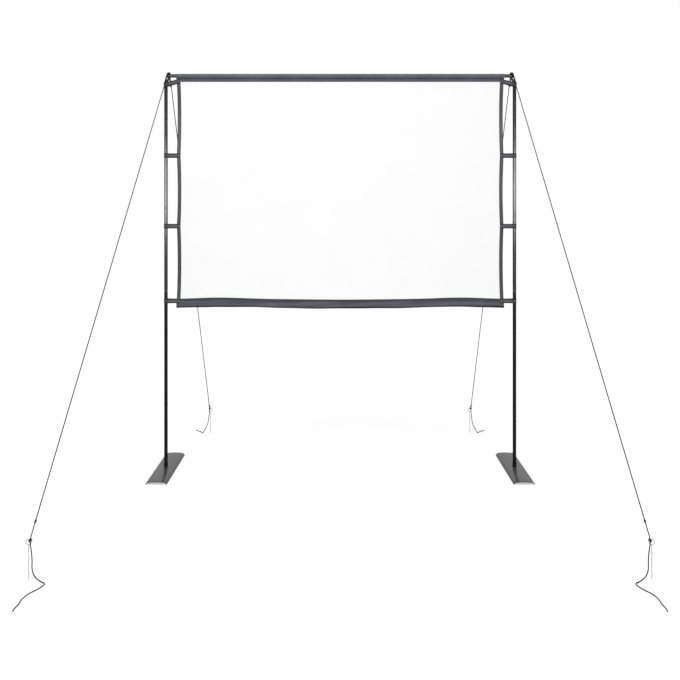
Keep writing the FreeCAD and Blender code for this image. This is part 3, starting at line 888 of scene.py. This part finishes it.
def low_surface(x, v):
    """Place and half thickness of the bottom band, v from 0 at its top to 1 at its lower edge."""
    top = low_top(x)
    z = top + (low_edge(x) - top) * v
    free = 1 - smooth((abs(x) - LOW_STILL_FROM) / LOW_STILL_REACH)
    swing = sum(size * ripple(x, pitch, phase) for size, pitch, phase in LOW_SWINGS)
    y = swing * free * max(0.0, (v - LOW_HELD) / (1 - LOW_HELD)) ** LOW_SWING_POWER
    half = LOW_THIN + LOW_FOLD * smooth(v / LOW_FOLD_WIDE)
    if v > ROLL_FROM:
        half = ROLL_R * math.sqrt(max(ROLL_LEAST, 1 - ((v - ROLL_MIDDLE) / ROLL_REACH) ** 2))
    pucker = 1 + PUCKER_CHANGE * ripple(x, PUCKER_PITCH)
    for line in LOW_SEAMS:
        half -= LOW_PUCKER * pucker * dent(v, line, LOW_PUCKER_WIDE)
    return y, z, half


def low_painted_shading(x, v):
    """Darker along the band's top, painted shade along its rolled edge, and soft streaks of painted light
    and shade between.
    """
    rolled_shade = ROLLED_SHADE_DROP + ROLLED_SHADE_CHANGE * ripple(x, ROLLED_SHADE_PITCH, ROLLED_SHADE_PHASE)
    tone = LOW_TONE - LOW_TOP_DROP * (1 - smooth((v - LOW_TOP_FROM) / LOW_TOP_REACH))
    tone -= rolled_shade * smooth((v - ROLLED_SHADE_FROM) / ROLLED_SHADE_REACH)
    stray = WIDE_STRAY * math.sin(WIDE_STRAY_RATE * x)
    shading_streak = math.sin(TAU * (v * WIDE_TURNS + x / WIDE_PITCH) + stray)
    shading_streak += FINE_SHARE * math.sin(TAU * (v * FINE_TURNS - x / FINE_PITCH) + FINE_PHASE)
    shown = smooth((v - SHADING_STREAK_FROM[0]) / SHADING_STREAK_FROM[1]) * (1 - smooth((v - SHADING_STREAK_TO[0]) / SHADING_STREAK_TO[1]))
    return tone + SHADING_STREAK * shading_streak * shown


lines = []
for x in np.linspace(-BAND_HALF + END_GAP, BAND_HALF - END_GAP, LOW_STEPS):
    spots = [(*low_surface(x, v), low_painted_shading(x, v)) for v in LOW_SHARES]
    lines.append([((x, y - half, z), (x, y + half, z), (PANEL_LOW - z, x), tone)
                  for y, z, half, tone in spots])
low_band = strip_piece("bottom_band_cloth", lines)
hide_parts("bottom_band")
seams = []
for line in LOW_SEAMS:
    for x in stitch_places:
        y, z, half = low_surface(x, line)
        seams += seam_pair(x, y, half, z, (1, 0, 0))
low_sewn = sewn_piece("bottom_band_stitching", seams)
hem_pieces += [low_band, low_sewn]


# -------- straps

# The webbing lies on the hem from its end to the band's edge, and goes round the pole
STRAP_ENDS = (0.884, 0.892, 0.899, BAND_HALF)
STRAP_R = 0.0104
STRAP_GAP = 0.00182
STRAP_BOW = 0.0009
STRAP_RUN = (0.15, 0.35, 0.6, 0.85)
STRAP_STEPS = 24
WEB_HALF, WEB_THINNED, WEB_EDGE = 0.00055, 0.55, 0.88
WEB_SHARES = (-1, -0.94, -0.8, -0.4, 0, 0.4, 0.8, 0.94, 1)

# Painted shade: the webbing is darker on the pole than on the run to it
POLE_SHADE_X, POLE_SHADE_REACH = 0.948, 0.006
WEB_TONE, WEB_POLE_SHADE_DROP = 1.05, 0.42

# A sewn box with a cross on the hem, and one row beyond the band's edge
BOX_X = (-0.9035, -0.8865)
BOX_IN = 0.0028
ROW_X = -0.9085
ROW_BEYOND = 0.001
ROW_BULGE = 0.0002
SEWN_Y = 0.00237
STRAP_STITCH = (0.0025, 0.00032)
STRAP_STITCH_PITCH = 0.0031


def strap_path():
    """Middle of the webbing, from its rear end on the hem, round the left pole, to its front end."""
    reach = POLE_X - BAND_HALF
    angle = math.atan2(STRAP_GAP, reach) + math.acos(STRAP_R / math.hypot(reach, STRAP_GAP))
    run = [(-x, STRAP_GAP) for x in STRAP_ENDS]
    tangent = (-POLE_X + STRAP_R * math.cos(angle), STRAP_R * math.sin(angle))
    for part in STRAP_RUN:
        x = -BAND_HALF + (tangent[0] + BAND_HALF) * part
        bow = STRAP_BOW * math.sin(math.pi * part)
        run.append((x, STRAP_GAP + (tangent[1] - STRAP_GAP) * part - bow))
    turn = []
    for step in range(STRAP_STEPS + 1):
        a = angle + (TAU - 2 * angle) * step / STRAP_STEPS
        turn.append((-POLE_X + STRAP_R * math.cos(a), STRAP_R * math.sin(a)))
    return run + turn + [(x, -y) for x, y in run[::-1]]


def strap_piece(label, side, k, height, slope):
    """One webbing loop with its stitching."""
    path = strap_path()
    rows, uvs, painted_shades = [], [], []
    for (x, y), (nx, ny), far in zip(path, normals(path), lengths_along(path)):
        loop, uv = [], []
        # Painted shade where the webbing goes round the pole
        pole_shade = smooth((-POLE_SHADE_X - x) / POLE_SHADE_REACH)
        painted_shades.append([WEB_TONE - WEB_POLE_SHADE_DROP * pole_shade] * (2 * len(WEB_SHARES)))
        for face, shares in ((-1, WEB_SHARES), (1, WEB_SHARES[::-1])):
            for share in shares:
                half = WEB_HALF * (1 - WEB_THINNED * smooth((abs(share) - WEB_EDGE) / (1 - WEB_EDGE)))
                z = height + STRAP_HALF * share + slope * (x + POLE_X)
                loop.append((k * (x + nx * half * face), y + ny * half * face, z))
                uv.append((far, STRAP_HALF * (1 + share)))
        rows.append(loop)
        uvs.append(uv + [uv[0]])
    strap = mesh_piece("strap_%s_webbing_%s" % (label, side), *loft_data(rows, uvs, True, True), strap_weave,
                       "strap_webbing", painted_shades=painted_shades)
    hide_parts("strap_%s_%s" % (label, side))

    (left, right), top, low = BOX_X, STRAP_HALF - BOX_IN, BOX_IN - STRAP_HALF
    box = [(left, low), (right, low), (right, top), (left, top), (left, low)]
    lines = list(zip(box, box[1:])) + [((left, low), (right, top)), ((right, low), (left, top))]
    lines.append(((ROW_X, low - ROW_BEYOND), (ROW_X, top + ROW_BEYOND)))
    seams = []
    for line in lines:
        bulge = ROW_BULGE if line[0][0] == ROW_X else 0.0
        for y in (-SEWN_Y, SEWN_Y):
            ends = [(k * x, y + math.copysign(bulge, y), height + z + slope * (x + POLE_X)) for x, z in line]
            seams += seam_line(*ends, (0, y, 0), STRAP_STITCH_PITCH)
    mesh_piece("strap_%s_stitching_%s" % (label, side), *stitch_data(seams, *STRAP_STITCH), strap_thread,
               "strap_webbing")


for side, k in SIDES:
    for label, height in STRAP_Z.items():
        strap_piece(label, side, k, height, 0.0)
    strap_piece("top", side, k, TOP_STRAP_Z, TOP_STRAP_SLOPE)


# -------- guy ropes

# Routes of the left ropes. The tail drops by steps of (x, y) with z as a share of the knot's height,
# and then lies on the floor by steps of (x, y). The eye is a height over the bar, the hitch an angle
# on the peg's ring.
ROPES = {
    "front": {
        "top": Vector((-0.948439, -0.010007, 2.181798)), "knot": Vector((-1.208575, -1.077350, 0.157425)),
        "ring": Vector((-1.216, -1.070, RING_Z)), "hitch": 45.0, "eye": 0.0023, "length": 2.683,
        "runner": Vector((-1.200669, -1.044912, 0.218949)),
        "drops": [(0.007, -0.001, 0.772), (0.004, -0.001, 0.531), (-0.001, -0.002, 0.303),
                  (0.013, -0.003, 0.125)],
        "lies": [(0.022, 0.001), (0.026, -0.012), (-0.010, -0.031), (-0.017, -0.023), (-0.013, -0.020),
                 (-0.006, -0.034), (0.005, -0.024), (-0.005, -0.026), (0.004, -0.015)],
    },
    "rear": {
        "top": Vector((-0.943867, 0.010077, 2.186398)), "knot": Vector((-0.829438, 0.550650, 0.159516)),
        "ring": Vector((-0.825, 0.558, RING_Z)), "hitch": 115.0, "eye": 0.0069, "length": 2.344,
        "runner": Vector((-0.830472, 0.545761, 0.177847)),
        "drops": [(-0.003, -0.0005, 0.775), (-0.0042, -0.0005, 0.525), (-0.0083, -0.0005, 0.325),
                  (-0.0105, -0.0005, 0.219)],
        "lies": [(-0.017, 0.005), (-0.012, 0.022), (-0.022, 0.018), (-0.020, 0.014)],
    },
}
ROPE_SHARP = 70.0
SPLINE_ORDER, SPLINE_STEPS = 3, 14

# Windings: radius, rise in one turn, and turns
EYE_WINDING = (0.0030, 0.0036, 3.0)
RETURN_WINDING = (0.0036, 0.0034, 3.0)
RING_WINDING = (0.0047, 0.0043, 2.5)
TIE_WINDING = (0.0030, 0.0035, 2.6)
WOUND_R = 0.0018
RING_WOUND_R = 0.0019
COIL_STEPS = 18

# A winding's ends are tucked in to a share of its radius, and come out over a share of a turn
TUCKED, TUCK_GAIN, TUCK_TURN = 0.55, 0.45, 0.35

# Places of the windings on the rope, and the room between the rope and the pin or its own return
EYE_DROP = 0.0030
TIE_LIFT = 0.0010
PIN_GAP = 0.0003
RETURN_GAP, RETURN_BOW = 0.0001, 0.0004
EYE_STEPS, RETURN_STEPS = 28, 14

# Melted tip: how far back it starts, its steps, and shares of the line's radius
TIP_BACK, TIP_STEP, TIP_SIDES = 0.0035, 0.0009, 14
TIP_SHARES = (0.99, 0.995, 1.0, 1.0, 1.0, 0.97, 0.8, 0.35)

# Runner: radius and height of its lower half, which is ribbed, and its bore
SLIDER_BORE = 0.0023
SLIDER_HALF = [
    (SLIDER_BORE, -0.0055), (0.0035, -0.0055), (0.0043, -0.0050), (0.0045, -0.0043),
    (0.0045, -0.0031), (0.0041, -0.0026), (0.0038, -0.0021), (0.0038, -0.0016),
    (0.0043, -0.0010), (0.0044, -0.0004)
]
SLIDER_PROFILE = SLIDER_HALF + [(r, -h) for r, h in SLIDER_HALF[::-1]] + [(SLIDER_BORE, 0.0)]
SLIDER_SHARP = 60.0


def spline_points(route):
    """Points on the smooth line that has the route as its control points."""
    data = bpy.data.curves.new("route", "CURVE")
    data.dimensions = "3D"
    spline = data.splines.new("NURBS")
    spline.points.add(len(route) - 1)
    for point, place in zip(spline.points, route):
        point.co = (*place, 1.0)
    spline.order_u = SPLINE_ORDER
    spline.use_endpoint_u = True
    spline.resolution_u = SPLINE_STEPS
    holder = bpy.data.objects.new("route", data)
    scene.collection.objects.link(holder)
    bpy.context.view_layer.update()
    evaluated = holder.evaluated_get(bpy.context.evaluated_depsgraph_get())
    made = bpy.data.meshes.new_from_object(evaluated)
    found = [v.co.copy() for v in made.vertices]
    bpy.data.objects.remove(holder)
    bpy.data.curves.remove(data)
    bpy.data.meshes.remove(made)
    return found


def coil_path(centre, axis, winding):
    """A winding about an axis that starts and ends tucked in."""
    radius, rise, turns = winding
    axis = Vector(axis).normalized()
    side = axis.orthogonal().normalized()
    up = axis.cross(side)
    count = int(turns * COIL_STEPS)
    made = []
    for i in range(count + 1):
        a = TAU * i / COIL_STEPS
        tuck = min(1.0, TUCKED + TUCK_GAIN * min(i, count - i) / (COIL_STEPS * TUCK_TURN))
        made.append(Vector(centre) + axis * (rise * (i / COIL_STEPS - turns / 2))
                    + (side * math.cos(a) + up * math.sin(a)) * radius * tuck)
    return made


def rope_route(spec, taut):
    """Control points from the pin to the end of the tail; one keeps the rope straight to the knot."""
    knot = spec["knot"]
    tail = [knot]
    for dx, dy, share in spec["drops"]:
        tail.append(Vector((tail[-1].x + dx, tail[-1].y + dy, knot.z * share)))
    for dx, dy in spec["lies"]:
        tail.append(Vector((tail[-1].x + dx, tail[-1].y + dy, LINE_R)))
    return [spec["top"], knot + taut * (tail[1] - knot).length] + tail


def rope(label, side, k):
    """One guy rope with its eye, hitch, tip and runner."""
    spec = ROPES[label]
    top, knot = spec["top"], spec["knot"]
    taut = (top - knot).normalized()

    def part_of(name, finish, sharp, *lofts):
        return mesh_piece("rope_%s_%s_%s" % (label, name, side), *joined(*lofts), finish, "rope_cord", sharp)

    def cord_of(points, radius):
        return tube_data(flip(k, points), radius)

    path = spline_points(flip(k, rope_route(spec, taut)))
    line = part_of("line", rope_weave, SHARP, tube_data(path, LINE_R))
    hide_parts("rope_%s_%s" % (label, side))

    # Eye laid round the corner pin; its end comes back beside the rope and is bound to it
    centre = Vector((-PIN_X, 0.0, BAR_Z + BAR_R + spec["eye"]))
    reach = PIN_R + PIN_GAP + ROPE_D / 2
    heading = math.atan2(top.y - centre.y, top.x - centre.x)
    open_by = math.acos(reach / (top - centre).length)
    eye = [top.copy()]
    for step in range(EYE_STEPS + 1):
        a = heading + open_by + (TAU - 2 * open_by) * step / EYE_STEPS
        eye.append(centre + Vector((math.cos(a), math.sin(a), 0)) * reach)
    eye.append(top.copy())
    wound = coil_path(top - taut * EYE_DROP, taut, EYE_WINDING)
    outward = Vector((-1, 0, 0))
    beside = (outward - taut * outward.dot(taut)).normalized()
    back = []
    for step in range(RETURN_STEPS + 1):
        away = ROPE_D + RETURN_GAP + RETURN_BOW * math.sin(math.pi * step / RETURN_STEPS)
        back.append(top - taut * (LOOP_RETURN * step / RETURN_STEPS) + beside * away)
    bound = coil_path(top - taut * LOOP_RETURN + beside * ROPE_D / 2, taut, RETURN_WINDING)
    loop = part_of("eye", rope_weave, ROPE_SHARP, cord_of(eye, ROPE_D / 2), cord_of(wound, WOUND_R),
                   cord_of(back, ROPE_D / 2), cord_of(bound, WOUND_R))

    # Turns round the peg's ring, with the knot in front of them
    angle = math.radians(spec["hitch"])
    spot = spec["ring"] + Vector((RING_R * math.cos(angle), 0, RING_R * math.sin(angle)))
    along = Vector((-math.sin(angle), 0, math.cos(angle)))
    turns = coil_path(spot, along, RING_WINDING)
    tie = coil_path(knot + taut * TIE_LIFT, taut, TIE_WINDING)
    hitch = part_of("hitch", rope_weave, ROPE_SHARP, cord_of(turns, RING_WOUND_R), cord_of(tie, WOUND_R))

    # Melted tip of the tail
    heading = (path[-1] - path[-2]).normalized()
    tip_path = [path[-1] - heading * TIP_BACK + heading * TIP_STEP * i for i in range(len(TIP_SHARES))]
    tip_radii = [LINE_R * share for share in TIP_SHARES]
    tip = part_of("tip", rope_end, ROPE_SHARP, tube_data(tip_path, tip_radii, TIP_SIDES))

    # Slider with finger ridges
    place, axis = flip(k, [spec["runner"], taut])
    slider = mesh_piece("runner_%s_slider_%s" % (label, side), *lathe_data(SLIDER_PROFILE, place, axis),
                        plastic, "black_plastic", SLIDER_SHARP, body="runner_%s_%s" % (label, side))
    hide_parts("runner_%s_%s" % (label, side))


for label in ROPES:
    for side, k in SIDES:
        rope(label, side, k)


# -------- stage and light

FLOOR_HALF = 30
FLOOR_DROP = 0.0003
WHITE = (1.0, 1.0, 1.0, 1.0)

# The floor's own glow, from under the screen to further out, and the world's light on the pieces
GLOW_REACH = (0.8, 3.0)
GLOW = (0.33, 0.41)
SKY = 0.68

# Height of the lamps that only show as sheen on the upper tubes
GLOSS_Z = 1.63

floor_mesh = bpy.data.meshes.new("floor")
corners = [(x * FLOOR_HALF, y * FLOOR_HALF, 0) for x, y in ((-1, -1), (1, -1), (1, 1), (-1, 1))]
floor_mesh.from_pydata(corners, [], [(0, 1, 2, 3)])
floor = bpy.data.objects.new("floor", floor_mesh)
floor.location = (0, 0, -FLOOR_DROP)
scene.collection.objects.link(floor)
floor_shade = Shade("floor_white", (0.90, 0.90, 0.90), 1.0, 0.0, 0.0)
floor_shade.set("Emission Color", WHITE)
spot = floor_shade.node("TexCoord").outputs["Object"]
far_off = floor_shade.node("VectorMath", {0: spot}, operation="LENGTH").outputs["Value"]
lift = floor_shade.remap(far_off, *GLOW_REACH, *GLOW)
floor_shade.set("Emission Strength", floor_shade.math("MULTIPLY", floor_shade.seen_rays(), lift))
floor_mesh.materials.append(floor_shade.mat)

world = bpy.data.worlds.new("studio")
scene.world = world
world.use_nodes = True
sky = Nodes(world.node_tree)
backdrop = sky.tree.nodes["Background"].inputs
sky.put(backdrop["Color"], WHITE)
shown = sky.math("MULTIPLY", sky.seen_rays(), 1 - SKY)
sky.put(backdrop["Strength"], sky.math("ADD", shown, SKY))

tubes = bpy.data.collections.new("shiny_tubes")
for node_name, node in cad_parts.items():
    if node_name.startswith(("pole_upper", "pole_lower", "bar_end")):
        tubes.objects.link(node)


def softbox(name, place, aim, wide, high, power, gloss_on=None):
    """An area lamp; with gloss_on it only shows in those shiny pieces and adds no light to dull ones."""
    data = bpy.data.lights.new(name, "AREA")
    data.shape = "RECTANGLE"
    data.size = wide
    data.size_y = high
    data.energy = power
    lamp = bpy.data.objects.new(name, data)
    lamp.location = place
    lamp.rotation_euler = (Vector(aim) - Vector(place)).to_track_quat("-Z", "Y").to_euler()
    scene.collection.objects.link(lamp)
    lamp.visible_camera = False
    if gloss_on:
        lamp.visible_diffuse = False
        lamp.light_linking.receiver_collection = gloss_on


# Name, place, aim, width, height and power
softbox("front_softbox", (0.0, -4.4, 1.45), (0.0, 0.0, 1.45), 4.0, 2.4, 56.0)
softbox("front_gloss", (0.0, -4.3, GLOSS_Z), (0.0, 0.0, GLOSS_Z), 5.0, 0.9, 290.0, tubes)
for x in (-1, 1):
    softbox("side_gloss", (x * 3.9, -2.4, GLOSS_Z), (x * POLE_X, 0.0, GLOSS_Z), 2.2, 0.9, 130.0, tubes)
softbox("top_softbox", (-0.8, -1.6, 4.4), (0.0, 0.0, 1.0), 3.0, 2.0, 26.0)
